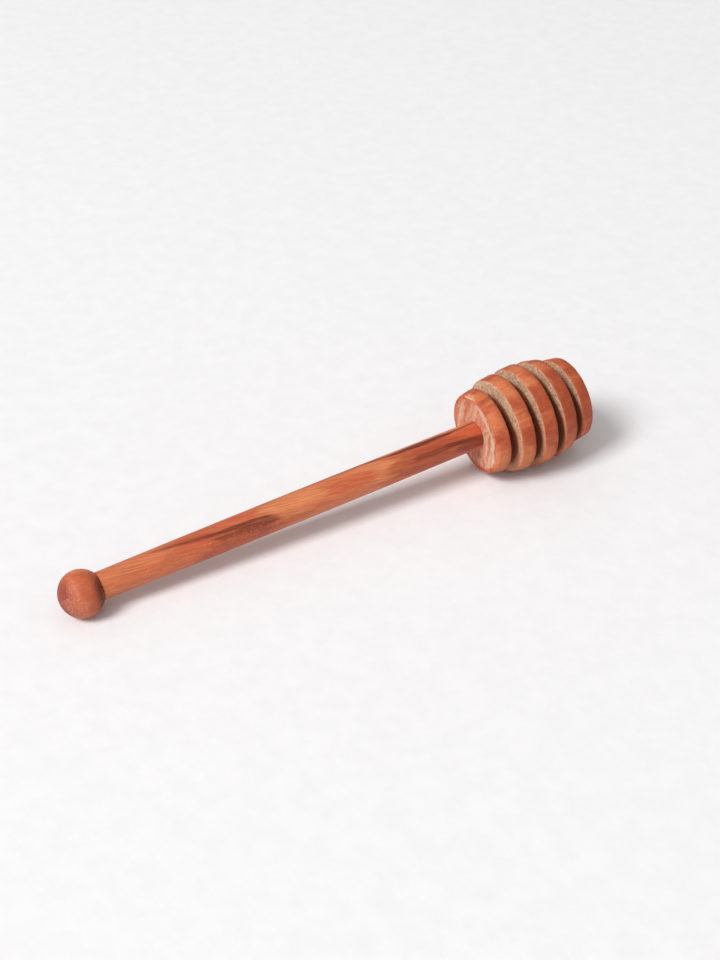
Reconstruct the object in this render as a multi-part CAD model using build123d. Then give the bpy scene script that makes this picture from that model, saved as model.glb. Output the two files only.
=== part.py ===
from build123d import *
import math
import os

# A honey dipper: a turned head of discs and grooves on a slim stem, with a ball on the other end.
# It lies on its side, as on a table, on the ball and on the widest disc.
# Millimetres, +Z up, +X from the ball to the head. The origin is on the table, under the middle.

# The ball
ball_diameter = 13.1
ball_length = 12.4

# The stem, between the face of the ball's seat and the front face of the head
stem_length = 116.6
stem_ball_end_diameter = 7.8
stem_belly_diameter = 8.5
stem_head_end_diameter = 8.0

# The head: discs with grooves between them, turned out of one block round a core
head_crown_diameter = 29.8
disc_thickness = 4.4
groove_width = 2.8
core_diameter = 13.0
rim_edge_radius = 0.4
groove_root_radius = 0.5

# The most that one rounding may take of a disc's thickness or a groove's width
rounding_share = 0.45

# Each disc's thickness, front to back, as a share of the thickest
thickness_shares = [0.90, 0.99, 1.00, 1.00, 0.87]

# Each disc's rim, at its face towards the stem and at its far face, as shares of the crown
near_rim_shares = [0.793, 0.934, 0.986, 0.981, 0.846]
far_rim_shares = [0.848, 0.966, 1.000, 0.923, 0.809]

# The two glued joints: a tenon at each end of the stem, in a blind hole
ball_tenon_diameter = 4.0
ball_tenon_length = 6.5
head_tenon_diameter = 5.0
head_tenon_length = 14.0
tenon_tip_bevel = 0.4
glue_clearance = 0.05
glue_pocket_depth = 0.5

# Steps of halving that find the resting tilt
halvings = 50

ball_radius = ball_diameter / 2
ball_half_length = ball_length / 2
crown_radius = head_crown_diameter / 2
core_radius = core_diameter / 2

# The ball's seat is a flat as wide as the stem's end. Places along the axis count from the ball's centre.
seat_radius = stem_ball_end_diameter / 2
seat_angle = math.asin(seat_radius / ball_radius)
seat_place = ball_half_length * math.cos(seat_angle)
head_place = seat_place + stem_length

thinnest_disc = min(thickness_shares) * disc_thickness
head_length = sum(thickness_shares) * disc_thickness + (len(thickness_shares) - 1) * groove_width


def rim_corners():
    """The corners of the discs' rims: (distance from the head's front face, radius), front to back."""
    corners = []
    start = 0
    for thickness_share, near_share, far_share in zip(thickness_shares, near_rim_shares, far_rim_shares):
        end = start + thickness_share * disc_thickness
        corners.append((start, near_share * crown_radius))
        corners.append((end, far_share * crown_radius))
        start = end + groove_width
    return corners


def make_head():
    """The discs and their core, about the X axis, with the blind hole for the stem's tenon."""
    hole_radius = head_tenon_diameter / 2 + glue_clearance
    hole_depth = head_tenon_length + glue_pocket_depth
    corners = rim_corners()
    outline = [(0, hole_radius)]
    for near, far in zip(corners[0::2], corners[1::2]):
        if near is not corners[0]:
            outline.append((near[0], core_radius))
        outline.append(near)
        outline.append(far)
        if far is not corners[-1]:
            outline.append((far[0], core_radius))
    outline.append((head_length, 0))
    outline.append((hole_depth, 0))
    outline.append((hole_depth, hole_radius))
    profile = make_face(Polyline(*outline, close=True))
    smallest_rim = min(radius for _, radius in corners)
    between = (core_radius + smallest_rim) / 2
    rims = profile.vertices().filter_by(lambda corner: corner.Y > between)
    profile = fillet(rims, min(rim_edge_radius, rounding_share * thinnest_disc))
    below_roots = (hole_radius + core_radius) / 2
    roots = profile.vertices().filter_by(lambda corner: below_roots < corner.Y < between)
    profile = fillet(roots, min(groove_root_radius, rounding_share * groove_width))
    return revolve(profile, axis=Axis.X)


def make_stem():
    """The stem about the X axis, a little fuller in the middle, with a tenon at each end."""
    head_end_radius = stem_head_end_diameter / 2
    ball_tenon = ball_tenon_diameter / 2
    head_tenon = head_tenon_diameter / 2
    edges = Polyline(
        (0, seat_radius),
        (0, ball_tenon),
        (tenon_tip_bevel - ball_tenon_length, ball_tenon),
        (-ball_tenon_length, ball_tenon - tenon_tip_bevel),
        (-ball_tenon_length, 0),
        (stem_length + head_tenon_length, 0),
        (stem_length + head_tenon_length, head_tenon - tenon_tip_bevel),
        (stem_length + head_tenon_length - tenon_tip_bevel, head_tenon),
        (stem_length, head_tenon),
        (stem_length, head_end_radius),
    )
    belly = ThreePointArc(
        (stem_length, head_end_radius),
        (stem_length / 2, stem_belly_diameter / 2),
        (0, seat_radius),
    )
    return revolve(make_face(edges + belly), axis=Axis.X)


def make_ball():
    """The ball about the X axis, its centre at zero, with a flat seat and a blind hole for the tenon."""
    hole_radius = ball_tenon_diameter / 2 + glue_clearance
    hole_end = seat_place - ball_tenon_length - glue_pocket_depth
    edges = Polyline(
        (-ball_half_length, 0),
        (hole_end, 0),
        (hole_end, hole_radius),
        (seat_place, hole_radius),
        (seat_place, seat_radius),
    )
    # A round ball's outline, squeezed along the axis to the ball's length
    seat_degrees = math.degrees(seat_angle)
    round_skin = CenterArc((0, 0), ball_radius, seat_degrees, 180 - seat_degrees)
    skin = scale(round_skin, by=(ball_half_length / ball_radius, 1, 1))
    return revolve(make_face(edges + skin), axis=Axis.X)


def ball_reach(tilt):
    """How far the ball reaches below its centre when the head end is raised by this angle."""
    return math.hypot(ball_half_length * math.sin(tilt), ball_radius * math.cos(tilt))


def disc_reach(tilt):
    """How far the lowest corner of the discs is below the ball's centre at this angle."""
    return max(
        radius * math.cos(tilt) - (head_place + distance) * math.sin(tilt)
        for distance, radius in rim_corners()
    )


def resting_tilt():
    """The angle at which the ball and the lowest disc touch the table together."""
    low, high = 0.0, math.pi / 4
    for _ in range(halvings):
        middle = (low + high) / 2
        if disc_reach(middle) > ball_reach(middle):
            low = middle
        else:
            high = middle
    return (low + high) / 2


tilt = resting_tilt()
left_end = -math.hypot(ball_half_length * math.cos(tilt), ball_radius * math.sin(tilt))
right_end = max(
    (head_place + distance) * math.cos(tilt) + radius * math.sin(tilt)
    for distance, radius in rim_corners()
)
on_table = Pos(-(left_end + right_end) / 2, 0, ball_reach(tilt)) * Rot(0, -math.degrees(tilt), 0)

pieces = {
    "ball_knob": make_ball(),
    "handle_stem": Pos(seat_place, 0, 0) * make_stem(),
    "dipper_head": Pos(head_place, 0, 0) * make_head(),
}

os.makedirs("parts", exist_ok=True)
for name, piece in pieces.items():
    export_step(on_table * piece, f"parts/{name}.step")

end_face_centre = on_table * Pos(head_place + head_length, 0, 0)
stem_middle = on_table * Pos(seat_place + stem_length / 2, 0, 0)
print("tilt in degrees", math.degrees(tilt))
print("ball centre", tuple(on_table.position))
print("end face centre", tuple(end_face_centre.position))
print("stem middle", tuple(stem_middle.position))
print("direction of the axis", (math.cos(tilt), 0.0, math.sin(tilt)))
print("overall length", ball_half_length + head_place + head_length)
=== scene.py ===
import math

import bpy
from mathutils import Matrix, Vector


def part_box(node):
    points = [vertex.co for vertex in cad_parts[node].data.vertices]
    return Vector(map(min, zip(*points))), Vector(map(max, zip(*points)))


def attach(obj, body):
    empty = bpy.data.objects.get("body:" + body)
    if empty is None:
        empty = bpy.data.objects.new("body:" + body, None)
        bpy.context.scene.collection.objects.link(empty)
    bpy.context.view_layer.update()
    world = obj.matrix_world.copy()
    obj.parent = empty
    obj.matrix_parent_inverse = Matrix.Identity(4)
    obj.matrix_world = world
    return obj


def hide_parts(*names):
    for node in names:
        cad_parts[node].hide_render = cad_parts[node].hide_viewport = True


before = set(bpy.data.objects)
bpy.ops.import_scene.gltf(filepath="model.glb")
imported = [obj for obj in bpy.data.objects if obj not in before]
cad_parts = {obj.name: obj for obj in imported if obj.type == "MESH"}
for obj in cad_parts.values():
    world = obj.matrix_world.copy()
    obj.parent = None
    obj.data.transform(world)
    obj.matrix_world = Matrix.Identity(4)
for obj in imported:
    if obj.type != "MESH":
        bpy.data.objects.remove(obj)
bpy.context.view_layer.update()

# A honey dipper lying on its side: a grooved head, a slim stem and a ball, all turned from oiled olive wood.
# Lengths here are metres. Shader patterns work in millimetres along and around the dipper's own axis.
MM = 0.001
PER_METRE = 1000.0

# Sizes of the three turned pieces, as in the solids
ball_radius = 6.55 * MM
ball_half_length = 6.2 * MM
stem_length = 116.6 * MM
stem_ball_end_radius = 3.9 * MM
stem_belly_radius = 4.25 * MM
stem_head_end_radius = 4.0 * MM
crown_radius = 14.9 * MM
disc_thickness = 4.4 * MM
groove_width = 2.8 * MM
core_radius = 6.5 * MM
rim_edge_radius = 0.4 * MM
groove_root_radius = 0.5 * MM
thickness_shares = [0.90, 0.99, 1.00, 1.00, 0.87]
near_rim_shares = [0.793, 0.934, 0.986, 0.981, 0.846]
far_rim_shares = [0.848, 0.966, 1.000, 0.923, 0.809]
ball_tenon_radius = 2.0 * MM
ball_tenon_length = 6.5 * MM
head_tenon_radius = 2.5 * MM
head_tenon_length = 14.0 * MM
glue_clearance = 0.05 * MM
glue_pocket_depth = 0.5 * MM

# How far the skin lies inside the solids, so that relief never stands proud of them
skin_depth = 0.02 * MM

# Steps of halving that find the resting tilt
halvings = 50

seat_angle = math.asin(stem_ball_end_radius / ball_radius)
seat_place = ball_half_length * math.cos(seat_angle)
head_place = seat_place + stem_length
head_length = sum(thickness_shares) * disc_thickness + (len(thickness_shares) - 1) * groove_width


# Where the dipper lies: its axis rises from the ball, because it rests on the ball and the widest disc

def rim_corners():
    """The rims' corners as (distance from the head's front face, radius), front to back."""
    corners = []
    start = 0
    for thickness_share, near_share, far_share in zip(thickness_shares, near_rim_shares, far_rim_shares):
        end = start + thickness_share * disc_thickness
        corners.append((start, near_share * crown_radius))
        corners.append((end, far_share * crown_radius))
        start = end + groove_width
    return corners


def ball_reach(angle):
    """How far the ball reaches below its centre when the head end is raised by this angle."""
    return math.hypot(ball_half_length * math.sin(angle), ball_radius * math.cos(angle))


def resting_tilt():
    """The angle at which the ball and the lowest disc touch the table together."""
    low, high = 0.0, math.pi / 4
    for _ in range(halvings):
        middle = (low + high) / 2
        lowest_disc = max(
            radius * math.cos(middle) - (head_place + distance) * math.sin(middle)
            for distance, radius in rim_corners()
        )
        if lowest_disc > ball_reach(middle):
            low = middle
        else:
            high = middle
    return (low + high) / 2


tilt = resting_tilt()
ball_left = math.hypot(ball_half_length * math.cos(tilt), ball_radius * math.sin(tilt))
ball_centre = Vector((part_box("ball_knob")[0].x + ball_left, 0.0, ball_reach(tilt)))


# Small helpers for node trees

def add(tree, kind, inputs=None, **settings):
    """Add a node, give it its settings, and set or connect its inputs by name or place."""
    made = tree.nodes.new(kind)
    for name, value in settings.items():
        setattr(made, name, value)
    for name, value in (inputs or {}).items():
        if isinstance(value, bpy.types.NodeSocket):
            tree.links.new(value, made.inputs[name])
        else:
            made.inputs[name].default_value = value
    return made


def calc(tree, operation, *values, clamp=False):
    """One step of arithmetic on numbers."""
    made = add(tree, "ShaderNodeMath", dict(enumerate(values)), operation=operation, use_clamp=clamp)
    return made.outputs[0]


def plus(tree, total, *others):
    """Numbers added together."""
    for other in others:
        total = calc(tree, "ADD", total, other)
    return total


def minus(tree, first, second):
    """One number less another."""
    return calc(tree, "SUBTRACT", first, second)


def times(tree, product, *others):
    """Numbers multiplied together."""
    for other in others:
        product = calc(tree, "MULTIPLY", product, other)
    return product


def vector_calc(tree, operation, *values):
    """One step of arithmetic on vectors."""
    made = add(tree, "ShaderNodeVectorMath", dict(enumerate(values)), operation=operation)
    return made.outputs["Value" if operation in ("LENGTH", "DOT_PRODUCT", "DISTANCE") else "Vector"]


def scaled(tree, vector, factor):
    """A vector or a colour times a number."""
    made = add(tree, "ShaderNodeVectorMath", {0: vector, "Scale": factor}, operation="SCALE")
    return made.outputs["Vector"]


def stretched(tree, vector, factors):
    """A vector or a colour with each of its parts times a factor of its own."""
    return vector_calc(tree, "MULTIPLY", vector, factors)


def split(tree, vector):
    """The X, Y and Z of a vector."""
    return add(tree, "ShaderNodeSeparateXYZ", {0: vector}).outputs


def joined(tree, **parts):
    """A vector made of its X, Y and Z."""
    return add(tree, "ShaderNodeCombineXYZ", parts).outputs[0]


def ramp(tree, value, low, high, start=0.0, end=1.0, smooth=True):
    """Turn a value between low and high into one between start and end."""
    inputs = {"Value": value, "From Min": low, "From Max": high, "To Min": start, "To Max": end}
    made = add(tree, "ShaderNodeMapRange", inputs, clamp=True)
    made.interpolation_type = "SMOOTHSTEP" if smooth else "LINEAR"
    return made.outputs["Result"]


def noise(tree, vector, scale=1.0, detail=3.0, roughness=0.6, seed=0.0, distortion=0.0, stretch=None):
    """Cloudy noise between 0 and 1 at a vector, which may be stretched first."""
    if stretch:
        vector = stretched(tree, vector, stretch)
    inputs = {
        "Vector": vector,
        "W": seed,
        "Scale": scale,
        "Detail": detail,
        "Roughness": roughness,
        "Distortion": distortion,
    }
    return add(tree, "ShaderNodeTexNoise", inputs, noise_dimensions="4D").outputs["Fac"]


def new_group(name, kind, takes, gives):
    """A node group with named inputs, each (name, type, value), and outputs, each (name, type)."""
    tree = bpy.data.node_groups.new(name, kind)
    for label, socket_type, value in takes:
        socket = tree.interface.new_socket(label, in_out="INPUT", socket_type=socket_type)
        if value is not None:
            socket.default_value = value
    for label, socket_type in gives:
        tree.interface.new_socket(label, in_out="OUTPUT", socket_type=socket_type)
    return tree, tree.nodes.new("NodeGroupInput").outputs, tree.nodes.new("NodeGroupOutput").inputs


def give(tree, result, values):
    """Connect what a group puts out."""
    for label, value in values.items():
        tree.links.new(value, result[label])


NUMBER = "NodeSocketFloat"
WHOLE = "NodeSocketInt"
PLACE = "NodeSocketVector"
SHAPE = "NodeSocketGeometry"
FINISH = "NodeSocketMaterial"


# The lathe: turns an outline round the axis, works its relief into the surface and lays it on the table

# What an outline says of each of its points, for the relief and the finish: how squarely it faces along
# the axis, how near it is to an edge and to a disc's rear edge, and how many millimetres it lies in a groove
point_notes = ("across", "edge", "rear", "depth")


def noted(tree, name):
    """One of the notes of the outline's points."""
    made = add(tree, "GeometryNodeInputNamedAttribute", {"Name": name}, data_type="FLOAT")
    return made.outputs["Attribute"]


def place_now(tree):
    """Where each point is when this is asked."""
    return add(tree, "GeometryNodeInputPosition").outputs[0]


def spin_outline(tree, given):
    """The outline spun round the X axis into a closed skin, which keeps the notes of its points."""
    outline = given["Outline"]
    seam_reach = 0.0002 * MM

    # A flat grid with one row for each point of the outline
    rows = add(tree, "GeometryNodeAttributeDomainSize", {0: outline}, component="MESH").outputs["Point Count"]
    columns = plus(tree, given["Steps Around"], 1.0)
    grid = {"Size X": 1.0, "Size Y": 1.0, "Vertices X": rows, "Vertices Y": columns}
    shape = add(tree, "GeometryNodeMeshGrid", grid).outputs["Mesh"]
    grid_place = split(tree, place_now(tree))
    row = calc(tree, "ROUND", times(tree, plus(tree, grid_place["X"], 0.5), minus(tree, rows, 1.0)))
    turn = times(tree, plus(tree, grid_place["Y"], 0.5), math.tau)

    def from_outline(value, kind):
        inputs = {"Geometry": outline, "Value": value, "Index": row}
        return add(tree, "GeometryNodeSampleIndex", inputs, data_type=kind, domain="POINT").outputs["Value"]

    for name in point_notes:
        kept = {"Geometry": shape, "Name": name, "Value": from_outline(noted(tree, name), "FLOAT")}
        keeper = add(tree, "GeometryNodeStoreNamedAttribute", kept, data_type="FLOAT", domain="POINT")
        shape = keeper.outputs[0]

    # The grid is rolled up round the axis, and its seam and poles are closed
    point = split(tree, from_outline(place_now(tree), "FLOAT_VECTOR"))
    sideways = times(tree, point["Y"], calc(tree, "SINE", turn), -1.0)
    upwards = times(tree, point["Y"], calc(tree, "COSINE", turn))
    rolled = joined(tree, X=point["X"], Y=sideways, Z=upwards)
    shape = add(tree, "GeometryNodeSetPosition", {"Geometry": shape, "Position": rolled}).outputs[0]
    shape = add(tree, "GeometryNodeMergeByDistance", {"Geometry": shape, "Distance": seam_reach}).outputs[0]
    return add(tree, "GeometryNodeFlipFaces", {0: shape}).outputs[0]


def relief_depth(tree, given):
    """How far the skin is cut inwards at each point. Nothing is ever added outwards."""
    place = scaled(tree, place_now(tree), PER_METRE)
    seed = given["Seed"]
    across = noted(tree, "across")
    edge = noted(tree, "edge")

    # Slow unevenness, and fibres that show where the wood is cut along its grain
    slow = noise(tree, place, 0.12, detail=2.0, roughness=0.5, seed=seed)
    slow = times(tree, slow, given["Unevenness"])
    fibres = noise(tree, place, 1.9, detail=4.0, roughness=0.62, seed=seed, stretch=(0.07, 1.0, 1.0))
    along_grain = calc(tree, "SUBTRACT", 1.0, across, clamp=True)
    fibres = times(tree, fibres, along_grain, given["Grain Relief"])

    # Rings left by the tool, and torn grain, where the wood is cut across its grain
    ring_turn = 9.0
    ring_share = 0.35
    from_axis = split(tree, place)
    squares = [calc(tree, "POWER", from_axis[name], 2.0) for name in ("Y", "Z")]
    wave = calc(tree, "SINE", times(tree, calc(tree, "SQRT", plus(tree, *squares)), ring_turn))
    rings = times(tree, plus(tree, times(tree, wave, 0.5), 0.5), ring_share)
    torn = noise(tree, place, 2.6, roughness=0.7, seed=seed)
    tool = times(tree, plus(tree, rings, torn), across, given["Tool Relief"])

    # Edges rubbed in places
    patches = noise(tree, place, 0.55, seed=plus(tree, seed, 3.0))
    worn = times(tree, ramp(tree, patches, 0.42, 0.72), edge, given["Edge Wear"])

    # One chip with a ragged outline. The piece without one has a size of next to nothing.
    smallest_chip = 0.001
    chip_fray = 1.4
    chip_floor_share = 0.45
    chip_depth_share = 0.1
    chip_size = calc(tree, "MAXIMUM", given["Chip Size"], smallest_chip)
    ragged = noise(tree, place, 0.9, detail=2.0, roughness=0.5, seed=seed)
    reach = vector_calc(tree, "DISTANCE", place, given["Chip Place"])
    reach = plus(tree, reach, times(tree, ragged, chip_fray))
    chip = ramp(tree, reach, times(tree, chip_size, chip_floor_share), chip_size, 1.0, 0.0)
    chip = times(tree, chip, edge, times(tree, chip_size, chip_depth_share * MM))
    return plus(tree, given["Skin Depth"], slow, fibres, tool, worn, chip)


def make_lathe():
    """The lathe, a geometry nodes tree with the sizes and the finish of a piece as its inputs."""
    takes = [
        ("Outline", SHAPE, None),
        ("Steps Around", WHOLE, 128),
        ("Ball Centre", PLACE, None),
        ("Tilt", NUMBER, 0.0),
        ("Finish", FINISH, None),
        ("Skin Depth", NUMBER, 0.0),
        ("Unevenness", NUMBER, 0.0),
        ("Grain Relief", NUMBER, 0.0),
        ("Tool Relief", NUMBER, 0.0),
        ("Edge Wear", NUMBER, 0.0),
        ("Chip Place", PLACE, None),
        ("Chip Size", NUMBER, 0.0),
        ("Seed", NUMBER, 0.0),
    ]
    tree, given, result = new_group("lathe", "GeometryNodeTree", takes, [("Piece", SHAPE)])
    shape = spin_outline(tree, given)
    normal = add(tree, "GeometryNodeInputNormal").outputs[0]
    inwards = scaled(tree, normal, times(tree, relief_depth(tree, given), -1.0))
    shape = add(tree, "GeometryNodeSetPosition", {"Geometry": shape, "Offset": inwards}).outputs[0]

    # The piece is laid on the table
    turned = joined(tree, Y=times(tree, given["Tilt"], -1.0))
    laid = {"Geometry": shape, "Translation": given["Ball Centre"], "Rotation": turned}
    shape = add(tree, "GeometryNodeTransform", laid).outputs[0]
    shape = add(tree, "GeometryNodeSetShadeSmooth", {"Geometry": shape}).outputs[0]
    shape = add(tree, "GeometryNodeRealizeInstances", {"Geometry": shape}).outputs[0]
    finished = {"Geometry": shape, "Material": given["Finish"]}
    give(tree, result, {"Piece": add(tree, "GeometryNodeSetMaterial", finished).outputs[0]})


# The outlines that the lathe turns

def straight_points(start, end, step):
    """Points from start towards end, without the end, no more than a step apart."""
    length = math.dist(start, end)
    count = max(1, math.ceil(length / step))
    return [
        (start[0] + (end[0] - start[0]) * k / count, start[1] + (end[1] - start[1]) * k / count)
        for k in range(count)
    ]


def rounded_outline(corners, arc_steps):
    """Points along an outline of (x, radius, rounding, step) corners.

    A corner's step is that of the run that follows it.
    """
    points = []
    last = corners[0][:2]
    step = corners[0][3]
    for before, here, after in zip(corners, corners[1:], corners[2:]):
        corner = Vector(here[:2])
        back = (Vector(before[:2]) - corner).normalized()
        on = (Vector(after[:2]) - corner).normalized()
        rounding = here[2]
        if rounding == 0:
            points += straight_points(last, here[:2], step)
            last = here[:2]
        else:
            half_angle = back.angle(on) / 2
            reach = rounding / math.tan(half_angle)
            arc_start = corner + back * reach
            centre = corner + (back + on).normalized() * (rounding / math.sin(half_angle))
            points += straight_points(last, tuple(arc_start), step)
            first_spoke = arc_start - centre
            sweep = first_spoke.angle_signed(corner + on * reach - centre)
            for k in range(arc_steps):
                turn = sweep * k / arc_steps
                points.append((
                    centre.x + first_spoke.x * math.cos(turn) + first_spoke.y * math.sin(turn),
                    centre.y - first_spoke.x * math.sin(turn) + first_spoke.y * math.cos(turn),
                ))
            last = tuple(corner + on * reach)
        step = here[3]
    points += straight_points(last, corners[-1][:2], step)
    points.append(tuple(corners[-1][:2]))
    return points


def head_outline():
    """The head's outline, from the bottom of its hole round to the middle of its end face."""
    hole_radius = head_tenon_radius + glue_clearance
    hole_depth = head_tenon_length + glue_pocket_depth
    hole_floor_step, hole_wall_step = 2.0 * MM, 4.0 * MM
    face_step, rim_step, wall_step, core_step = 0.35 * MM, 0.27 * MM, 0.45 * MM, 0.7 * MM
    arc_steps = 6
    corners = [
        (hole_depth, 0.0, 0, hole_floor_step),
        (hole_depth, hole_radius, 0, hole_wall_step),
        (0.0, hole_radius, 0, face_step),
    ]
    rims = rim_corners()
    for near, far in zip(rims[0::2], rims[1::2]):
        if near is not rims[0]:
            corners.append((near[0], core_radius, groove_root_radius, wall_step))
        corners.append((*near, rim_edge_radius, rim_step))
        corners.append((*far, rim_edge_radius, wall_step))
        if far is not rims[-1]:
            corners.append((far[0], core_radius, groove_root_radius, core_step))
    corners.append((head_length, 0.0, 0, face_step))
    points = rounded_outline(corners, arc_steps)
    return [(x + head_place, radius) for x, radius in points]


def stem_radius(x):
    """The stem's radius at a distance from the ball's seat: fuller in the middle."""
    t = x / stem_length
    ends = stem_ball_end_radius * (1 - t) * (1 - 2 * t) + stem_head_end_radius * t * (2 * t - 1)
    return ends + 4 * stem_belly_radius * t * (1 - t)


def stem_outline():
    """The stem's outline, from the tip of the ball's tenon to the tip of the head's tenon."""
    rows = 820
    points = [(-ball_tenon_length, 0.0), (-ball_tenon_length, ball_tenon_radius), (0.0, ball_tenon_radius)]
    points += [(stem_length * k / rows, stem_radius(stem_length * k / rows)) for k in range(rows + 1)]
    points += [
        (stem_length, head_tenon_radius),
        (stem_length + head_tenon_length, head_tenon_radius),
        (stem_length + head_tenon_length, 0.0),
    ]
    return [(x + seat_place, radius) for x, radius in points]


def ball_outline():
    """The ball's outline, from its far pole over the seat to the bottom of its hole."""
    rows = 150
    hole_radius = ball_tenon_radius + glue_clearance
    hole_end = seat_place - ball_tenon_length - glue_pocket_depth
    points = []
    for k in range(rows + 1):
        angle = math.pi + (seat_angle - math.pi) * k / rows
        points.append((ball_half_length * math.cos(angle), ball_radius * math.sin(angle) * (k > 0)))
    points += [(seat_place, hole_radius), (hole_end, hole_radius), (hole_end, 0.0)]
    return points


def outline_mesh(name, points):
    """The outline as a chain of points with their notes."""
    mesh = bpy.data.meshes.new(name + "_outline")
    chain = [(k, k + 1) for k in range(len(points) - 1)]
    mesh.from_pydata([(x, radius, 0.0) for x, radius in points], chain, [])
    for label in point_notes:
        mesh.attributes.new(label, "FLOAT", "POINT")
    across, edge, rear, depth = [mesh.attributes[label] for label in point_notes]
    rims = [(head_place + x, radius) for x, radius in rim_corners()]
    edge_reach = 0.55 * MM
    rear_reach = 1.3 * MM
    for k, (x, radius) in enumerate(points):
        before, after = points[max(k - 1, 0)], points[min(k + 1, len(points) - 1)]
        run = math.hypot(after[0] - before[0], after[1] - before[1])
        across.data[k].value = abs(after[1] - before[1]) / run
        nearest = min(math.dist((x, radius), rim) for rim in rims)
        edge.data[k].value = math.exp(-((nearest / edge_reach) ** 2))
        from_rear = min(math.dist((x, radius), rim) for rim in rims[1::2])
        rear.data[k].value = math.exp(-((from_rear / rear_reach) ** 2))
        rim_here = min(rims, key=lambda rim: abs(rim[0] - x))[1]
        if rims[1][0] - rim_edge_radius < x < rims[-2][0] + rim_edge_radius:
            depth.data[k].value = max(0.0, rim_here - radius) / MM
    return mesh


def turn_piece(name, points, node, slot, finish, steps_around, **relief):
    """Turn one outline on the lathe, keep it as a plain mesh and let it stand for its solid."""
    raw = bpy.data.objects.new(name + "_blank", outline_mesh(name, points))
    bpy.context.scene.collection.objects.link(raw)
    lathe = raw.modifiers.new("lathe", "NODES")
    lathe.node_group = bpy.data.node_groups["lathe"]
    values = {
        "Steps Around": steps_around,
        "Ball Centre": ball_centre,
        "Tilt": tilt,
        "Finish": finish,
        "Skin Depth": skin_depth,
        **relief,
    }
    for item in lathe.node_group.interface.items_tree:
        if item.in_out == "INPUT" and item.name in values:
            lathe[item.identifier] = values[item.name]
    bpy.context.view_layer.update()
    dressed = raw.evaluated_get(bpy.context.evaluated_depsgraph_get())
    mesh = bpy.data.meshes.new_from_object(dressed)
    mesh.name = name
    bpy.data.objects.remove(raw)
    piece = bpy.data.objects.new(name, mesh)
    bpy.context.scene.collection.objects.link(piece)
    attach(piece, "root")
    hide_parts(node)


# Effects that the finishes share, each a shader node group

def add_slant(tree, place, slant):
    """Places moved sideways as they run along the dipper, so that the grain runs at a slant to its axis."""
    return vector_calc(tree, "ADD", place, scaled(tree, slant, split(tree, place)["X"]))


def make_unrolled():
    """Where a place is on a turned piece: along the axis, out from it, and round it in degrees.

    Turn counts from the top towards the side that the camera sees.
    Low is 1 on the camera's side a little below the middle, and -1 on the other side.
    """
    low_near_share, low_down_share = 0.94, 0.34
    smallest_out = 0.01
    labels = ("Along", "Near", "Up", "Out", "Turn", "Low")
    gives = [(label, NUMBER) for label in labels]
    tree, given, result = new_group("unrolled", "ShaderNodeTree", [("Place", PLACE, None)], gives)
    axes = split(tree, given["Place"])
    near = times(tree, axes["Y"], -1.0)
    up = axes["Z"]
    out = calc(tree, "SQRT", plus(tree, times(tree, near, near), times(tree, up, up)))
    low = minus(tree, times(tree, near, low_near_share), times(tree, up, low_down_share))
    give(tree, result, {
        "Along": axes["X"],
        "Near": near,
        "Up": up,
        "Out": out,
        "Turn": calc(tree, "DEGREES", calc(tree, "ARCTAN2", near, up)),
        "Low": calc(tree, "DIVIDE", low, calc(tree, "MAXIMUM", out, smallest_out)),
    })


def make_growth_rings():
    """Yearly rings round a pith that runs beside the dipper's axis."""
    takes = [
        ("Place", PLACE, None),
        ("Slant", PLACE, (0.0, 0.0, 0.0)),
        ("Pith Near", NUMBER, 0.0),
        ("Pith Up", NUMBER, 0.0),
        ("Ring Width", NUMBER, 1.0),
        ("Wander", NUMBER, 1.0),
        ("Seed", NUMBER, 0.0),
    ]
    gives = [("Late Wood", NUMBER), ("Tone", NUMBER)]
    tree, given, result = new_group("growth_rings", "ShaderNodeTree", takes, gives)
    slanted = add_slant(tree, given["Place"], given["Slant"])
    place = split(tree, slanted)
    near = plus(tree, place["Y"], given["Pith Near"])
    up = minus(tree, place["Z"], given["Pith Up"])
    from_pith = calc(tree, "SQRT", plus(tree, times(tree, near, near), times(tree, up, up)))
    wander = noise(tree, slanted, roughness=0.5, seed=given["Seed"], stretch=(0.05, 0.17, 0.17))
    wander = times(tree, minus(tree, wander, 0.5), given["Wander"])
    rings = calc(tree, "DIVIDE", plus(tree, from_pith, wander), given["Ring Width"])
    share = calc(tree, "FRACT", rings)
    row = joined(tree, X=times(tree, rings, 0.55))
    give(tree, result, {
        "Late Wood": times(tree, ramp(tree, share, 0.35, 0.9), ramp(tree, share, 0.9, 1.0, 1.0, 0.0)),
        "Tone": noise(tree, row, detail=2.0, seed=given["Seed"]),
    })


def make_wood_fibres():
    """Fine streaks along the grain, broad clouds of tone, and the dark dashes of open pores."""
    takes = [
        ("Place", PLACE, None),
        ("Slant", PLACE, (0.0, 0.0, 0.0)),
        ("Fineness", NUMBER, 2.0),
        ("Length", NUMBER, 12.0),
        ("Seed", NUMBER, 0.0),
    ]
    gives = [("Fibre", NUMBER), ("Cloud", NUMBER), ("Pores", NUMBER)]
    tree, given, result = new_group("wood_fibres", "ShaderNodeTree", takes, gives)
    seed = given["Seed"]
    slanted = add_slant(tree, given["Place"], given["Slant"])
    comb = joined(tree, X=calc(tree, "DIVIDE", 1.0, given["Length"]), Y=1.0, Z=1.0)
    combed = stretched(tree, slanted, comb)
    dashes = noise(
        tree, slanted, 5.5, detail=2.0, roughness=0.5, seed=plus(tree, seed, 5.0), stretch=(0.22, 1.0, 1.0)
    )
    give(tree, result, {
        "Fibre": noise(tree, combed, given["Fineness"], detail=5.0, roughness=0.66, seed=seed),
        "Cloud": noise(tree, combed, 0.42, seed=plus(tree, seed, 9.0), distortion=0.6),
        "Pores": ramp(tree, dashes, 0.63, 0.74),
    })


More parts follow.
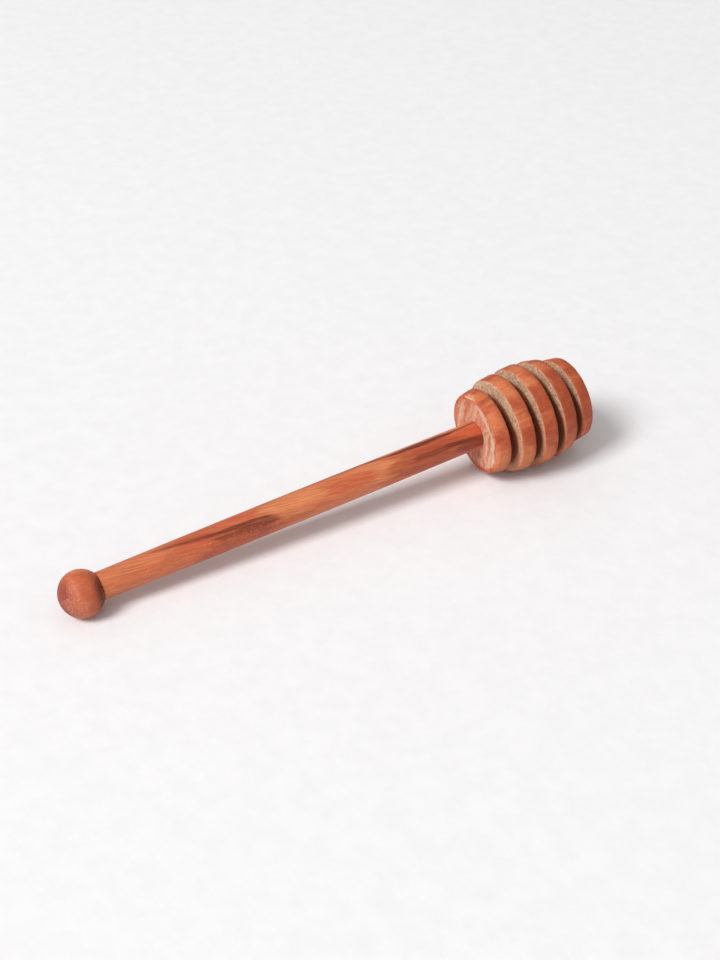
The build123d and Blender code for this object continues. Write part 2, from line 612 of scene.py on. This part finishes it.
def make_end_grain():
    """The speckle and the open pores of wood cut across the grain."""
    takes = [("Place", PLACE, None), ("Grit", NUMBER, 1.6), ("Seed", NUMBER, 0.0)]
    gives = [("Speckle", NUMBER), ("Pores", NUMBER)]
    tree, given, result = new_group("end_grain", "ShaderNodeTree", takes, gives)
    flat = stretched(tree, given["Place"], (0.4, 1.0, 1.0))
    cells = {"Vector": flat, "Scale": 1.7, "Randomness": 1.0}
    from_pore = add(tree, "ShaderNodeTexVoronoi", cells).outputs["Distance"]
    give(tree, result, {
        "Speckle": noise(tree, given["Place"], given["Grit"], detail=4.0, roughness=0.8, seed=given["Seed"]),
        "Pores": ramp(tree, from_pore, 0.12, 0.34, 1.0, 0.0),
    })


def make_worn_edge():
    """Where handling has rubbed an edge pale, broken up by noise."""
    takes = [("Place", PLACE, None), ("Edge", NUMBER, 0.0), ("Cover", NUMBER, 0.5), ("Seed", NUMBER, 0.0)]
    tree, given, result = new_group("worn_edge", "ShaderNodeTree", takes, [("Worn", NUMBER)])
    patches = noise(tree, given["Place"], 0.7, detail=4.0, seed=given["Seed"])
    low = minus(tree, 0.75, given["Cover"])
    patches = ramp(tree, patches, low, plus(tree, low, 0.3))
    give(tree, result, {"Worn": times(tree, patches, ramp(tree, given["Edge"], 0.15, 0.85))})


def make_figure_stroke():
    """One streak of the wood's figure on the unrolled surface, narrowing to both ends."""
    takes = [
        ("Along", NUMBER, 0.0),
        ("Around", NUMBER, 0.0),
        ("Start", PLACE, None),
        ("End", PLACE, None),
        ("Half Width", NUMBER, 0.5),
        ("Softness", NUMBER, 0.5),
        ("Wobble", NUMBER, 0.0),
        ("Fray", NUMBER, 0.0),
    ]
    tree, given, result = new_group("figure_stroke", "ShaderNodeTree", takes, [("Stroke", NUMBER)])
    here = joined(tree, X=given["Along"], Y=given["Around"])
    run = vector_calc(tree, "SUBTRACT", given["End"], given["Start"])
    heading = vector_calc(tree, "NORMALIZE", run)
    offset = vector_calc(tree, "SUBTRACT", here, given["Start"])
    travelled = plus(tree, vector_calc(tree, "DOT_PRODUCT", offset, heading), given["Fray"])
    beside = split(tree, vector_calc(tree, "CROSS_PRODUCT", heading, offset))["Z"]
    beside = calc(tree, "ABSOLUTE", plus(tree, beside, given["Wobble"]))

    # The streak is an arch along its run, widest in the middle, with soft sides
    bow_power = 0.55
    thinnest = 0.001
    share = calc(tree, "DIVIDE", travelled, vector_calc(tree, "LENGTH", run), clamp=True)
    arch = times(tree, times(tree, share, minus(tree, 1.0, share)), 4.0)
    bow = calc(tree, "POWER", arch, bow_power)
    inner = times(tree, given["Half Width"], bow)
    outer = times(tree, plus(tree, given["Half Width"], given["Softness"]), bow)
    outer = calc(tree, "MAXIMUM", outer, plus(tree, inner, thinnest))
    body = ramp(tree, beside, inner, outer, 1.0, 0.0)
    give(tree, result, {"Stroke": times(tree, body, ramp(tree, arch, 0.0, 0.5))})


# Colours of oiled olive wood, as they look on a screen

def paint(red, green, blue):
    """A colour given by its screen values from 0 to 255, for a shader."""
    def linear(value):
        value /= 255
        return value / 12.92 if value <= 0.04045 else ((value + 0.055) / 1.055) ** 2.4
    return (linear(red), linear(green), linear(blue), 1.0)


amber = paint(206, 113, 74)
gold = paint(216, 134, 86)
russet = paint(182, 82, 48)
brick = paint(193, 88, 52)
chestnut = paint(158, 68, 37)
umber = paint(98, 36, 18)
plum = paint(172, 98, 76)
mauve = paint(132, 54, 46)
sanded = paint(228, 190, 158)
tan = paint(212, 170, 138)
dust = paint(158, 114, 86)
rose = paint(216, 164, 138)
blush = paint(204, 130, 100)
cream = paint(224, 186, 160)
straw = paint(224, 178, 134)
paper_grey = paint(238, 237, 238)
paper_white = paint(241, 240, 241)

# What is left of a colour, as shares of red, green and blue, where painted shade darkens the walls of the
# grooves
painted_groove_shade = (0.43, 0.265, 0.215)


# Small helpers for the finishes

def blend(tree, under, over, *masks):
    """Lay one colour over another where all the masks say."""
    mask = times(tree, *masks)
    return add(tree, "ShaderNodeMix", {0: mask, 6: under, 7: over}, data_type="RGBA").outputs[2]


def tint(tree, under, over, pattern, low, high, start=0.0, end=1.0):
    """Lay one colour over another, more and more as a pattern goes from low to high."""
    return blend(tree, under, over, ramp(tree, pattern, low, high, start, end))


def shade(tree, colour, pattern, low, high, start, end):
    """Darken or lighten a colour by shares from start to end as a pattern goes from low to high."""
    return scaled(tree, colour, ramp(tree, pattern, low, high, start, end, smooth=False))


def place_group(tree, name, inputs):
    """Put one of the shared groups in a material, with its own values."""
    return add(tree, "ShaderNodeGroup", inputs, node_tree=bpy.data.node_groups[name]).outputs


def new_finish(name):
    """A new material without nodes."""
    finish = bpy.data.materials.new(name)
    finish.use_nodes = True
    finish.node_tree.nodes.clear()
    return finish, finish.node_tree


def start_finish(name):
    """A new material with the coordinates that the wood patterns follow."""
    finish, tree = new_finish(name)
    coordinates = add(tree, "ShaderNodeTexCoord").outputs["Object"]
    own_axes = {"Vector": coordinates, "Location": ball_centre, "Rotation": (0.0, -tilt, 0.0)}
    place = add(tree, "ShaderNodeMapping", own_axes, vector_type="TEXTURE").outputs[0]
    return finish, tree, scaled(tree, place, PER_METRE)


def end_finish(tree, colour, roughness, height, bump_depth, shine=0.45):
    """Close a material with its shader, which has a bump from a height and shines this strongly."""
    bump = add(tree, "ShaderNodeBump", {"Height": height, "Distance": bump_depth})
    inputs = {"Base Color": colour, "Roughness": roughness, "Normal": bump.outputs[0]}
    shader = add(tree, "ShaderNodeBsdfPrincipled", inputs)
    shader.inputs["Specular IOR Level"].default_value = shine
    output = add(tree, "ShaderNodeOutputMaterial")
    tree.links.new(shader.outputs[0], output.inputs["Surface"])


def attribute(tree, name):
    """One of the notes that the lathe kept on the surface."""
    return add(tree, "ShaderNodeAttribute", attribute_name=name, attribute_type="GEOMETRY").outputs["Fac"]


def per_degree(radius):
    """Millimetres to the degree round a piece of this radius."""
    return math.radians(1.0) * radius * PER_METRE


def centred(tree, value, reach):
    """Noise between 0 and 1 turned into a shift of about this reach to both sides."""
    return times(tree, minus(tree, value, 0.5), reach * 2.0)


def fibre_height(tree, fibres):
    """The height of wood cut along its grain: raised fibres and open pores."""
    return minus(tree, times(tree, fibres["Fibre"], 0.5), fibres["Pores"])


def lay_strokes(tree, first, second, wobble, fray, rows, scale=1.0, blur=1.0):
    """The strongest of several streaks of figure, as a mask.

    Each row gives where the streak starts and ends (first and second coordinate of each),
    its half width, its softness and its strength.
    The second coordinates are multiplied by the scale, such as millimetres to the degree,
    and the softnesses by the blur.
    """
    strongest = 0.0
    for start, start_second, end, end_second, half_width, softness, strength in rows:
        stroke = place_group(tree, "figure_stroke", {
            "Along": first, "Around": second, "Wobble": wobble, "Fray": fray,
            "Start": (start, start_second * scale, 0.0), "End": (end, end_second * scale, 0.0),
            "Half Width": half_width, "Softness": softness * blur,
        })["Stroke"]
        strongest = calc(tree, "MAXIMUM", strongest, times(tree, stroke, strength))
    return strongest


# The stem's figure: each streak runs from a place along the axis and a turn round it to another such place

stem_golden = [
    (-4, 22, 30, 16, 1.4, 1.8, 0.65),
    (-4, 80, 34, 86, 1.2, 2.0, 0.5),
    (51, 12, 76, 30, 1.8, 1.6, 1.0),
    (50, 45, 68, 52, 1.2, 1.6, 0.75),
    (54, 0, 90, 8, 0.6, 1.3, 0.8),
    (73, -8, 93, -3, 0.6, 0.8, 0.95),
    (60, 12, 100, 50, 2.0, 2.0, 0.85),
    (88, -27, 122, -28, 0.8, 0.6, 1.0),
    (50, 112, 92, 108, 0.8, 1.4, 0.6),
    (94, 10, 100, 24, 0.2, 0.7, 0.5),
]
stem_reddish = [
    (69, 6, 88, 44, 0.5, 1.4, 0.45),
    (70, 38, 88, 44, 1.1, 1.5, 0.7),
    (6, 95, 50, 92, 2.0, 2.4, 0.15),
    (24, 48, 46, 58, 1.4, 1.8, 0.2),
    (111, 34, 125, 42, 1.1, 0.8, 0.9),
    (60, -36, 94, -30, 0.7, 0.8, 0.9),
    (100, 12, 114, 22, 0.5, 0.8, 0.5),
]
stem_brown = [
    (20, -6, 41, 38, 0.4, 1.0, 0.75),
    (31, 20, 54, 72, 0.5, 1.2, 0.65),
    (34, 78, 60, 84, 1.5, 2.0, 0.75),
    (30, 108, 54, 104, 1.0, 1.6, 0.55),
    (88, 66, 128, 88, 2.2, 1.2, 0.9),
    (91, 46, 118, 46, 1.5, 1.2, 0.9),
    (96, 30, 112, 36, 0.8, 1.0, 0.6),
    (54, 84, 66, 85, 0.2, 0.8, 0.6),
    (91, 5, 104, 34, 0.2, 0.6, 0.7),
]
stem_dark = [
    (18, -4, 44, 40, 0.1, 0.5, 0.7),
    (33, 27, 57, 45, 0.26, 0.6, 0.9),
    (36, 46, 54, 68, 0.2, 0.7, 0.7),
    (42, 52, 57, 59, 0.5, 0.7, 0.75),
    (45, 60, 55, 78, 0.5, 1.3, 0.4),
    (58, -50, 88, -22, 0.15, 0.4, 0.8),
    (84, -20, 101, 0, 0.22, 0.55, 0.8),
    (92, -6, 116, -2, 0.5, 0.6, 1.0),
    (106, -2, 123, -9, 0.2, 0.5, 0.8),
    (98, 50, 114, 54, 0.5, 1.0, 0.6),
    (108, 46, 126, 72, 0.3, 0.8, 0.9),
    (112, 82, 126, 90, 1.0, 1.1, 0.6),
]
stem_flecked = [
    (12, 70, 66, 86, 1.4, 2.0, 1.0),
    (66, 74, 104, 76, 0.8, 1.4, 0.7),
]


def make_stem_finish():
    """The stem: amber wood with golden, red, brown and nearly black streaks, and fine pale flecks."""
    finish, tree, place = start_finish("stem_finish")
    spot = place_group(tree, "unrolled", {"Place": place})
    around_scale = per_degree(stem_belly_radius)
    around = times(tree, spot["Turn"], around_scale)
    slant = (0.0, 0.13, 0.09)
    fibres = place_group(tree, "wood_fibres", {
        "Place": place, "Slant": slant, "Fineness": 2.3, "Length": 14.0, "Seed": 2.0,
    })
    rings = place_group(tree, "growth_rings", {
        "Place": place, "Slant": slant, "Pith Near": 11.0, "Pith Up": -9.0, "Ring Width": 2.1,
        "Wander": 4.0, "Seed": 8.0,
    })
    fine = place_group(tree, "growth_rings", {
        "Place": place, "Slant": slant, "Pith Near": 6.0, "Pith Up": -13.0, "Ring Width": 0.62,
        "Wander": 2.6, "Seed": 18.0,
    })
    drift = noise(tree, place, seed=4.0, stretch=(0.07, 0.4, 0.4))
    threads = noise(tree, place, seed=6.0, stretch=(0.05, 3.4, 3.4))
    wobble = plus(tree, centred(tree, drift, 1.0), centred(tree, threads, 0.45))
    fray = plus(tree, centred(tree, drift, 3.0), centred(tree, threads, 6.0))

    def figure(rows, blur=1.0, fray_share=1.0):
        frayed = fray if fray_share == 1.0 else times(tree, fray, fray_share)
        return lay_strokes(tree, spot["Along"], around, wobble, frayed, rows, around_scale, blur)

    colour = tint(tree, brick, amber, rings["Tone"], 0.34, 0.66)
    colour = tint(tree, colour, russet, fibres["Cloud"], 0.42, 0.68, end=0.6)
    colour = blend(tree, colour, russet, rings["Late Wood"], 0.35)
    colour = blend(tree, colour, gold, figure(stem_golden, 1.7), 0.85)
    colour = blend(tree, colour, brick, figure(stem_reddish, 1.7))
    banded = ramp(tree, fine["Tone"], 0.3, 0.7, 0.5, 0.95)
    colour = blend(tree, colour, chestnut, figure(stem_brown, 1.6), banded)
    colour = blend(tree, colour, umber, figure(stem_dark, fray_share=0.5))
    colour = blend(tree, colour, russet, fine["Late Wood"], 0.32)
    colour = shade(tree, colour, fibres["Fibre"], 0.25, 0.75, 0.67, 1.29)
    colour = blend(tree, colour, chestnut, fibres["Pores"], 0.6)
    flecks = noise(tree, place, 3.4, detail=2.0, seed=51.0, stretch=(0.6, 1.0, 1.0))
    flecks = ramp(tree, flecks, 0.56, 0.7, 0.0, 0.32)
    colour = blend(tree, colour, straw, flecks, figure(stem_flecked))
    roughness = ramp(tree, fibres["Fibre"], 0.3, 0.7, 0.44, 0.56)
    end_finish(tree, colour, roughness, fibre_height(tree, fibres), 0.03 * MM)
    return finish


# The head's figure: on the rims as on the stem, and on the front face from one (near, up) place to another

rim_deep = [
    (116, 68, 128, 68, 1.0, 1.6, 0.5),
    (125, 20, 138, 58, 1.0, 2.6, 0.5),
    (124, 74, 156, 79, 2.2, 2.6, 0.6),
    (138, 56, 154, 66, 3.2, 3.0, 0.85),
    (138, 12, 162, 22, 1.0, 2.0, 0.75),
    (130, 38, 158, 42, 3.0, 3.4, 0.6),
    (148, 76, 160, 76, 1.2, 1.8, 0.6),
    (119, 9, 126, 9, 0.3, 0.9, 0.5),
    (119, -18, 129, -12, 0.6, 1.2, 0.5),
    (132, 62, 162, 60, 6.0, 6.0, 0.35),
]
rim_light = [
    (124, 42, 135, 43, 0.15, 0.5, 0.55),
    (124, 53, 136, 54, 0.15, 0.5, 0.5),
    (122, 14, 142, 15, 1.0, 1.6, 0.6),
    (133, -16, 146, -4, 1.2, 2.0, 0.6),
    (132, 54, 142, 57, 0.15, 0.5, 0.5),
    (115, 40, 129, 47, 1.8, 2.4, 0.55),
    (114, 104, 140, 112, 4.0, 4.5, 0.6),
    (114, -6, 138, 2, 1.4, 2.4, 0.6),
]
face_pale = [
    (7.9, 5.6, 9.0, -6.4, 0.25, 0.8, 0.85),
    (8.8, -2.6, 5.0, -10.4, 0.5, 1.2, 0.8),
    (1.4, 9.8, 5.2, 6.8, 0.4, 1.0, 0.8),
    (4.6, 7.6, 8.2, 4.0, 0.2, 0.8, 0.8),
    (-8.6, -0.4, -6.2, 7.0, 0.4, 1.1, 0.65),
    (-10.6, 2.0, -8.4, 6.8, 0.2, 0.8, 0.5),
    (4.9, 2.8, 5.6, -5.6, 0.2, 0.6, 0.5),
    (-3.6, -6.0, 3.6, -9.6, 0.3, 1.2, 0.5),
]
face_dusky = [
    (-5.2, 7.0, -2.6, 10.9, 0.3, 0.8, 0.85),
    (-3.4, 7.6, -1.2, 10.9, 0.15, 0.6, 0.75),
    (-6.2, 3.6, -4.4, 7.2, 0.1, 0.6, 0.6),
    (6.0, 8.6, 9.6, 3.2, 0.1, 0.7, 0.75),
    (9.4, 4.0, 10.2, -5.0, 0.1, 0.6, 0.8),
    (3.4, -8.6, 7.6, -6.4, 0.1, 0.5, 0.4),
    (-10.7, -1.0, -9.2, 5.2, 0.3, 0.7, 0.75),
    (-3.0, -8.8, 3.0, -5.6, 0.7, 1.3, 0.75),
    (6.9, 4.6, 7.3, -2.2, 0.12, 0.45, 0.7),
    (7.9, -4.0, 7.0, -7.6, 0.1, 0.4, 0.5),
]
chip_pale = [
    (-6.2, 9.7, -1.4, 11.0, 0.1, 0.3, 1.0),
    (-5.0, 10.7, -0.2, 11.5, 0.1, 0.7, 0.45),
]

# Where the head starts and ends along the axis, in millimetres
head_start = head_place * PER_METRE
head_end = (head_place + head_length) * PER_METRE


def read_head_wood(tree, place):
    """The patterns that the head's rims, faces and grooves share, by name."""
    drift = noise(tree, place, seed=24.0, stretch=(0.2, 0.5, 0.5))
    threads = noise(tree, place, seed=26.0, stretch=(0.10, 2.2, 2.2))
    return {
        "place": place,
        "spot": place_group(tree, "unrolled", {"Place": place}),
        "fibres": place_group(tree, "wood_fibres", {
            "Place": place, "Fineness": 1.7, "Length": 9.0, "Seed": 11.0,
        }),
        "ends": place_group(tree, "end_grain", {"Place": place, "Grit": 1.7, "Seed": 14.0}),
        "rings": place_group(tree, "growth_rings", {
            "Place": place, "Pith Near": 27.0, "Pith Up": -7.0, "Ring Width": 2.0,
            "Wander": 6.0, "Seed": 17.0,
        }),
        "drift": drift,
        "wobble": plus(tree, centred(tree, drift, 1.4), centred(tree, threads, 0.3)),
        "fray": plus(tree, centred(tree, drift, 1.5), centred(tree, threads, 2.0)),
        "upright": noise(tree, place, roughness=0.55, seed=41.0, stretch=(0.3, 3.0, 0.6)),
    }


def colour_rims(tree, wood):
    """The rims: grain along the axis, so each streak runs on from disc to disc, with painted shade towards
    each rear edge.
    """
    place, fibres = wood["place"], wood["fibres"]
    around_scale = per_degree(crown_radius)
    around = times(tree, wood["spot"]["Turn"], around_scale)

    def figure(rows):
        return lay_strokes(
            tree, wood["spot"]["Along"], around, wood["wobble"], wood["fray"], rows, around_scale
        )

    clouds = noise(tree, place, detail=4.0, roughness=0.62, seed=28.0, stretch=(0.16, 0.26, 0.26))
    colour = tint(tree, russet, amber, clouds, 0.37, 0.6)
    colour = tint(tree, colour, chestnut, noise(tree, place, 0.34, seed=29.0), 0.5, 0.7, end=0.65)
    colour = tint(tree, colour, russet, fibres["Cloud"], 0.42, 0.7, end=0.45)
    colour = tint(tree, colour, russet, wood["rings"]["Late Wood"], 0.2, 1.0, end=0.3)
    colour = blend(tree, colour, gold, figure(rim_light), 0.8)
    colour = blend(tree, colour, chestnut, figure(rim_deep), 0.85)
    # Painted shade: chestnut darkens each rim towards its rear edge, which turns away from the light
    colour = blend(tree, colour, chestnut, attribute(tree, "rear"), 0.62)
    colour = shade(tree, colour, fibres["Fibre"], 0.25, 0.75, 0.86, 1.12)
    mottle = noise(tree, place, 1.5, roughness=0.7, seed=33.0, stretch=(0.6, 1.0, 1.0))
    colour = shade(tree, colour, mottle, 0.3, 0.7, 0.87, 1.1)
    return blend(tree, colour, chestnut, fibres["Pores"], 0.3)


def colour_front_face(tree, wood):
    """The front face: upright bands of growth, a pale one towards the near edge, purple and pale patches."""
    rings, upright = wood["rings"], wood["upright"]
    fray = centred(tree, wood["drift"], 1.0)

    def figure(rows):
        return lay_strokes(tree, wood["spot"]["Near"], wood["spot"]["Up"], wood["wobble"], fray, rows)

    colour = tint(tree, blush, rose, rings["Tone"], 0.36, 0.62)
    colour = tint(tree, colour, amber, noise(tree, wood["place"], 0.3, seed=43.0), 0.48, 0.66, end=0.3)
    colour = blend(tree, colour, brick, rings["Late Wood"], 0.55)
    streaky = ramp(tree, upright, 0.38, 0.6, 0.6, 1.0)
    colour = blend(tree, colour, cream, figure(face_pale), streaky)
    colour = blend(tree, colour, plum, figure(face_dusky), times(tree, streaky, 0.85))
    colour = shade(tree, colour, upright, 0.3, 0.7, 0.88, 1.11)
    return shade(tree, colour, wood["ends"]["Speckle"], 0.35, 0.65, 0.88, 1.1)


def colour_groove_walls(tree, wood):
    """The walls of the grooves: rough sanded end grain."""
    grit = noise(tree, wood["place"], 2.2, detail=2.0, roughness=0.7, seed=47.0)
    colour = tint(tree, sanded, tan, wood["rings"]["Tone"], 0.35, 0.65)
    colour = tint(tree, colour, dust, grit, 0.46, 0.62, end=0.85)
    colour = shade(tree, colour, grit, 0.3, 0.48, 1.16, 1.0)
    colour = tint(tree, colour, blush, wood["spot"]["Low"], 0.42, 0.97, end=0.6)
    return blend(tree, colour, chestnut, wood["ends"]["Pores"], 0.25)


def colour_far_face(tree, wood):
    """The far face: the same bands of growth as the front, without its patches."""
    rings, ends = wood["rings"], wood["ends"]
    colour = tint(tree, blush, rose, rings["Tone"], 0.36, 0.62)
    colour = tint(tree, colour, brick, rings["Late Wood"], 0.1, 1.0, end=0.6)
    colour = tint(tree, colour, plum, wood["upright"], 0.42, 0.64, end=0.4)
    colour = shade(tree, colour, ends["Speckle"], 0.35, 0.65, 0.86, 1.08)
    return blend(tree, colour, chestnut, ends["Pores"], 0.3)


def find_end_grain(tree, wood, front):
    """Where the head shows end grain: its faces and its walls, on the front face inside a ragged line."""
    ragged = plus(tree, wood["spot"]["Out"], centred(tree, wood["upright"], 1.2))
    inside = ramp(tree, ragged, 9.9, 11.0, 1.0, 0.0)
    shown = calc(tree, "MAXIMUM", times(tree, front, inside), minus(tree, 1.0, front))
    return times(tree, shown, ramp(tree, attribute(tree, "across"), 0.975, 0.999))


def find_painted_groove_shade(tree, wood):
    """Where painted shade darkens the inner parts of the grooves, from nearer the rim on the underside."""
    along, low = wood["spot"]["Along"], wood["spot"]["Low"]
    nearer = plus(
        tree,
        ramp(tree, low, 0.42, 0.98, -0.2, 1.6),
        ramp(tree, along, 127.0, 136.0, -1.1, 0.0, smooth=False),
        times(tree, ramp(tree, along, 136.0, 150.0), ramp(tree, low, 0.17, 0.77)),
        centred(tree, wood["drift"], 0.6),
    )
    return ramp(tree, plus(tree, attribute(tree, "depth"), nearer), 2.5, 4.1)


def find_chip(tree, wood):
    """Where the chip in the front edge shows pale wood."""
    spot = wood["spot"]
    fray = centred(tree, wood["ends"]["Speckle"], 0.8)
    chip = lay_strokes(tree, spot["Near"], spot["Up"], 0.0, fray, chip_pale)
    return times(tree, chip, ramp(tree, spot["Along"], head_start + 0.9, head_start + 1.6, 1.0, 0.0))


def make_head_finish():
    """The head: long grain on its rims, end grain on its faces, and painted shade inside the grooves."""
    finish, tree, place = start_finish("head_finish")
    wood = read_head_wood(tree, place)
    along, fibres, ends = wood["spot"]["Along"], wood["fibres"], wood["ends"]
    front = ramp(tree, along, head_start + 0.7, head_start + 1.3, 1.0, 0.0)
    far = ramp(tree, along, head_end - 1.3, head_end - 0.7)
    cut = blend(tree, colour_groove_walls(tree, wood), colour_far_face(tree, wood), far)
    cut = blend(tree, cut, colour_front_face(tree, wood), front)
    end_grain = find_end_grain(tree, wood, front)
    colour = blend(tree, colour_rims(tree, wood), cut, end_grain)
    worn = place_group(tree, "worn_edge", {
        "Place": place, "Edge": attribute(tree, "edge"), "Cover": 0.15, "Seed": 23.0,
    })["Worn"]
    colour = blend(tree, colour, cream, worn, 0.08)
    # Painted shade: the inner parts of the grooves are darkened in the colour itself
    colour = blend(tree, colour, stretched(tree, colour, painted_groove_shade), find_painted_groove_shade(tree, wood))
    colour = blend(tree, colour, straw, find_chip(tree, wood))
    roughness = ramp(tree, end_grain, 0.0, 1.0, 0.6, 0.85)
    end_height = minus(tree, times(tree, ends["Speckle"], 2.5), ends["Pores"])
    heights = {0: end_grain, 2: fibre_height(tree, fibres), 3: end_height}
    height = add(tree, "ShaderNodeMix", heights, data_type="FLOAT").outputs[0]
    end_finish(tree, colour, roughness, height, 0.05 * MM, 0.3)
    return finish


# The ball's marks, from place to place as on the stem: a painted highlight on its top and a patch of pale
# flecks

ball_painted_highlight = [
    (-1.8, -38, 3.6, -6, 1.0, 1.6, 0.7),
]
ball_flecked = [
    (-2.7, -4, -3.2, 76, 0.3, 1.4, 0.7),
    (-4.2, 36, -2.4, 134, 1.6, 2.2, 1.0),
]


def make_ball_finish():
    """The ball: redder wood, with painted shade and darker wood towards the stem, darker at its far end, a
    painted highlight on its top and a patch of pale flecks.
    """
    finish, tree, place = start_finish("ball_finish")
    spot = place_group(tree, "unrolled", {"Place": place})
    along = spot["Along"]
    around_scale = per_degree(ball_radius)
    around = times(tree, spot["Turn"], around_scale)
    fibres = place_group(tree, "wood_fibres", {
        "Place": place, "Slant": (0.0, 0.35, -0.2), "Fineness": 1.9, "Length": 6.0, "Seed": 31.0,
    })
    ends = place_group(tree, "end_grain", {"Place": place, "Grit": 2.2, "Seed": 34.0})
    drift = noise(tree, place, 0.35, seed=44.0)
    wobble = centred(tree, drift, 1.4)
    across = attribute(tree, "across")

    def figure(rows):
        return lay_strokes(tree, along, around, wobble, wobble, rows, around_scale)

    colour = tint(tree, russet, brick, fibres["Cloud"], 0.42, 0.74)
    colour = tint(tree, colour, amber, drift, 0.5, 0.75, end=0.3)
    # Painted highlight: a golden stroke lightens the top of the ball
    colour = blend(tree, colour, gold, figure(ball_painted_highlight))
    colour = blend(tree, colour, blush, 0.16)
    # Painted shade with darker wood: umber towards the stem, reaching further on the camera's lower side
    shade_and_dark_wood_towards_stem = minus(tree, along, ramp(tree, spot["Low"], -0.9, 0.77, 3.6, 0.0))
    colour = tint(tree, colour, umber, plus(tree, shade_and_dark_wood_towards_stem, wobble), 0.8, 4.0, end=0.93)
    colour = tint(tree, colour, mauve, plus(tree, along, wobble), -5.4, -2.0, 0.85, 0.0)
    flecks = ramp(tree, ends["Speckle"], 0.48, 0.6)
    colour = blend(tree, colour, blush, figure(ball_flecked), ramp(tree, flecks, 0.0, 1.0, 0.25, 0.85))
    colour = blend(tree, colour, blush, flecks, ramp(tree, across, 0.2, 0.9, 0.2, 0.3))
    colour = blend(tree, colour, umber, ends["Pores"], ramp(tree, across, 0.3, 0.9, 0.05, 0.35))
    colour = shade(tree, colour, fibres["Fibre"], 0.25, 0.75, 0.8, 1.16)
    roughness = ramp(tree, fibres["Fibre"], 0.3, 0.7, 0.46, 0.58)
    end_finish(tree, colour, roughness, fibre_height(tree, fibres), 0.03 * MM, 0.22)
    return finish


make_lathe()
make_unrolled()
make_growth_rings()
make_wood_fibres()
make_end_grain()
make_worn_edge()
make_figure_stroke()

turn_piece(
    "turned_head", head_outline(), "dipper_head", "head_wood", make_head_finish(), 272,
    **{
        "Unevenness": 0.05 * MM, "Grain Relief": 0.03 * MM, "Tool Relief": 0.05 * MM, "Edge Wear": 0.12 * MM,
        "Chip Place": (122.2, 3.4, 11.4), "Chip Size": 3.2, "Seed": 1.0,
    },
)
turn_piece(
    "turned_stem", stem_outline(), "handle_stem", "stem_wood", make_stem_finish(), 104,
    **{"Unevenness": 0.06 * MM, "Grain Relief": 0.025 * MM, "Seed": 6.0},
)
turn_piece(
    "turned_ball", ball_outline(), "ball_knob", "ball_wood", make_ball_finish(), 200,
    **{"Unevenness": 0.05 * MM, "Grain Relief": 0.02 * MM, "Seed": 9.0},
)


# The table, the light and the camera

def make_paper():
    """Matt white paper with the faint clouds of its pulp."""
    finish, tree = new_finish("paper")
    place = scaled(tree, add(tree, "ShaderNodeTexCoord").outputs["Object"], PER_METRE)
    pulp = noise(tree, place, 0.16, detail=4.0, seed=1.0)
    colour = tint(tree, paper_grey, paper_white, pulp, 0.35, 0.65)
    end_finish(tree, colour, 0.9, pulp, 0.15 * MM, 0.1)
    return finish


def make_table():
    """A broad flat sheet under the dipper."""
    reach = 4.0
    mesh = bpy.data.meshes.new("table")
    corners = [(-reach, -reach, 0), (reach, -reach, 0), (reach, reach, 0), (-reach, reach, 0)]
    mesh.from_pydata(corners, [], [(0, 1, 2, 3)])
    mesh.materials.append(make_paper())
    table = bpy.data.objects.new("table", mesh)
    bpy.context.scene.collection.objects.link(table)


def aim_at(thing, target):
    """Point a lamp or the camera at a place."""
    thing.rotation_euler = (Vector(target) - thing.location).to_track_quat("-Z", "Y").to_euler()


def make_softbox(name, towards, distance, size, power, colour):
    """A square softbox at a distance in a direction from the dipper."""
    lamp = bpy.data.lights.new(name, "AREA")
    lamp.shape = "SQUARE"
    lamp.size = size
    lamp.energy = power
    lamp.color = colour
    box = bpy.data.objects.new(name, lamp)
    bpy.context.scene.collection.objects.link(box)
    box.location = Vector(towards).normalized() * distance
    aim_at(box, (0, 0, 0))


def light_room(colour, strength):
    """Even light from all sides."""
    world = bpy.data.worlds.new("studio")
    world.use_nodes = True
    background = world.node_tree.nodes["Background"]
    background.inputs["Color"].default_value = colour
    background.inputs["Strength"].default_value = strength
    bpy.context.scene.world = world


def make_camera(target, turn, elevation, distance, focal_length):
    """The camera, at a distance from its target, turned about the upright and raised by these angles."""
    back = Vector((-math.sin(turn), math.cos(turn), 0))
    lens = bpy.data.cameras.new("camera")
    lens.lens = focal_length
    lens.sensor_width = 36.0
    lens.clip_start = 0.01
    lens.clip_end = 20.0
    camera = bpy.data.objects.new("camera", lens)
    bpy.context.scene.collection.objects.link(camera)
    raised = Vector((0, 0, distance * math.sin(elevation)))
    camera.location = target - back * distance * math.cos(elevation) + raised
    aim_at(camera, target)
    bpy.context.scene.camera = camera


make_table()
make_softbox("key_softbox", (-0.89, -0.17, 1.0), 4.5, 1.5, 150.0, (0.98, 0.985, 1.0))
make_softbox("fill_softbox", (-0.76, -0.4, 1.0), 9.0, 7.2, 165.0, (0.98, 0.99, 1.0))
light_room((1.0, 0.985, 0.96, 1.0), 0.43)
make_camera(
    target=Vector((0.01747, 0.01391, 0.0)), turn=math.radians(-30.328), elevation=math.radians(36.484),
    distance=0.51129, focal_length=66.92,
)
bpy.context.scene.view_settings.view_transform = "Standard"
